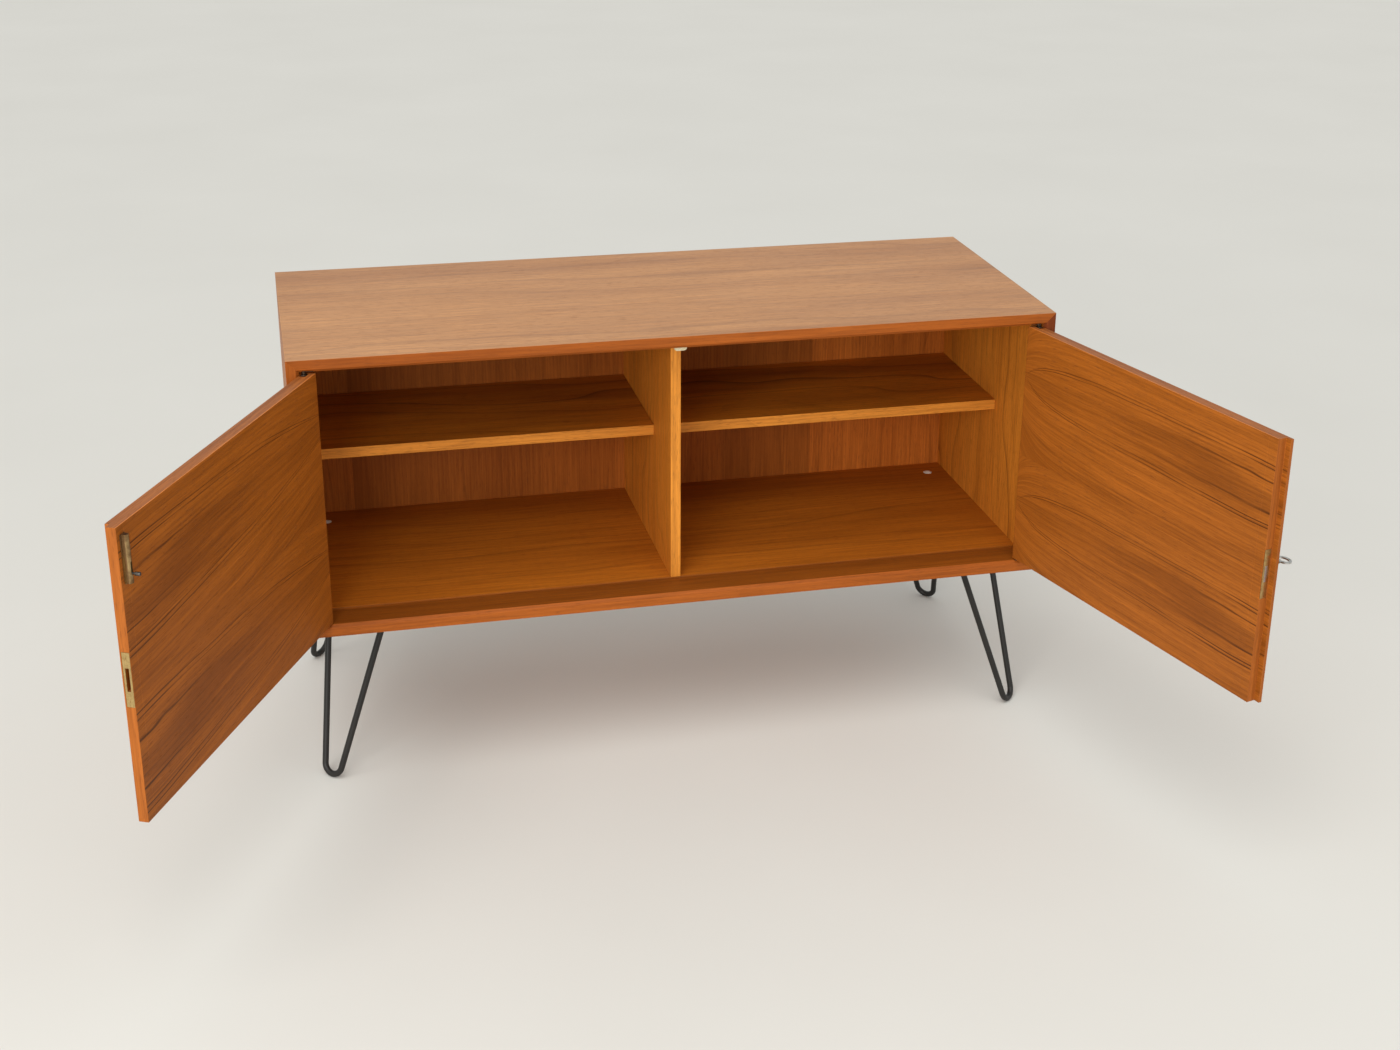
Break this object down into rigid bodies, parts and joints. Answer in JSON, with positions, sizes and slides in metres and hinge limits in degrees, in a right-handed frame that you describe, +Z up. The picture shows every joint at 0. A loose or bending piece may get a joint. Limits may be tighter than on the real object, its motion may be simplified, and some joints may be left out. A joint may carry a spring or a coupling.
{
  "type": "television cabinet",
  "caption": "Low teak cabinet on hairpin legs, with inset doors, a divider, shelves, a surface bolt and a key lock.",
  "frame": {"origin": "on the floor under the centre of the case", "axes": "+X to the right along the case, +Y to the rear, +Z up; the doors face -Y"},
  "size_m": [1.5861, 1.0315, 0.706],
  "materials": {
    "teak_case": "satin oiled teak veneer",
    "teak_inside": "satin oiled teak veneer",
    "teak_back": "satin teak-faced plywood",
    "teak_door": "satin oiled teak veneer",
    "teak_edge": "satin solid teak",
    "plywood": "matte birch plywood",
    "black_steel": "satin black powder coat",
    "dark_steel": "dull, lightly tarnished",
    "steel": "bright zinc",
    "brass": "aged brass",
    "white_plastic": "matte",
    "cream_plastic": "satin"
  },
  "bodies": {
    "case": {"back_panel": "teak_back", "back_panel_screws": "steel", "bolt_keeper": "cream_plastic", "bolt_keeper_screw": "steel", "bottom_panel": "teak_case", "centre_divider": "teak_inside", "corner_splines": "plywood", "floor_lining": "teak_inside", "front_left_leg_plate": "black_steel", "front_left_leg_rod": "black_steel", "front_right_leg_plate": "black_steel", "front_right_leg_rod": "black_steel", "hinge_case_screws": "steel", "left_bottom_hinge_case_leaf": "dark_steel", "left_floor_cap": "white_plastic", "left_shelf": "teak_inside", "left_side_panel": "teak_case", "left_top_hinge_case_leaf": "dark_steel", "leg_screws": "black_steel", "rear_left_leg_plate": "black_steel", "rear_left_leg_rod": "black_steel", "rear_right_leg_plate": "black_steel", "rear_right_leg_rod": "black_steel", "right_bottom_hinge_case_leaf": "dark_steel", "right_floor_cap": "white_plastic", "right_shelf": "teak_inside", "right_side_panel": "teak_case", "right_top_hinge_case_leaf": "dark_steel", "shelf_pins": "brass", "top_panel": "teak_case"},
    "left_door": {"left_door_panel": "teak_door", "left_door_meeting_stile": "teak_edge", "strike_plate": "brass", "strike_plate_screws": "brass", "bolt_body": "brass", "bolt_body_pins": "brass", "left_bottom_hinge_door_leaf": "dark_steel", "left_top_hinge_door_leaf": "dark_steel", "left_hinge_door_screws": "steel"},
    "right_door": {"right_door_panel": "teak_door", "right_door_meeting_stile": "teak_edge", "lock_case": "steel", "lock_faceplate": "brass", "lock_screws": "brass", "key_escutcheon": "brass", "right_bottom_hinge_door_leaf": "dark_steel", "right_top_hinge_door_leaf": "dark_steel", "right_hinge_door_screws": "steel"},
    "left_bolt": {"bolt_bar": "steel"},
    "lock_bolt": {"lock_deadbolt": "steel"},
    "key": {"key": "steel"}
  },
  "joints": [
    {"name": "left_door_hinge", "type": "hinge", "parent": "case", "child": "left_door", "pos_m": [-0.574, -0.235, 0.28], "axis": [0, 0, 1], "range_deg": [-14, 116]},
    {"name": "right_door_hinge", "type": "hinge", "parent": "case", "child": "right_door", "pos_m": [0.574, -0.235, 0.28], "axis": [0, 0, -1], "range_deg": [-25.5, 104.5]},
    {"name": "left_bolt_slide", "type": "slide", "parent": "left_door", "child": "left_bolt", "axis": [0, 0, 1], "range_m": [0, 0.014]},
    {"name": "key_turn", "type": "hinge", "parent": "right_door", "child": "key", "pos_m": [0.71399, -0.76431, 0.486], "axis": [-0.9681, -0.2504, 0], "range_deg": [0, 90]},
    {"name": "lock_bolt_slide", "type": "slide", "parent": "right_door", "child": "lock_bolt", "axis": [0.2504, -0.9681, 0], "range_m": [0, 0.0081]}
  ],
  "couplings": [
    {"joint": "lock_bolt_slide", "follows": "key_turn", "m_per_rad": 0.005093}
  ]
}
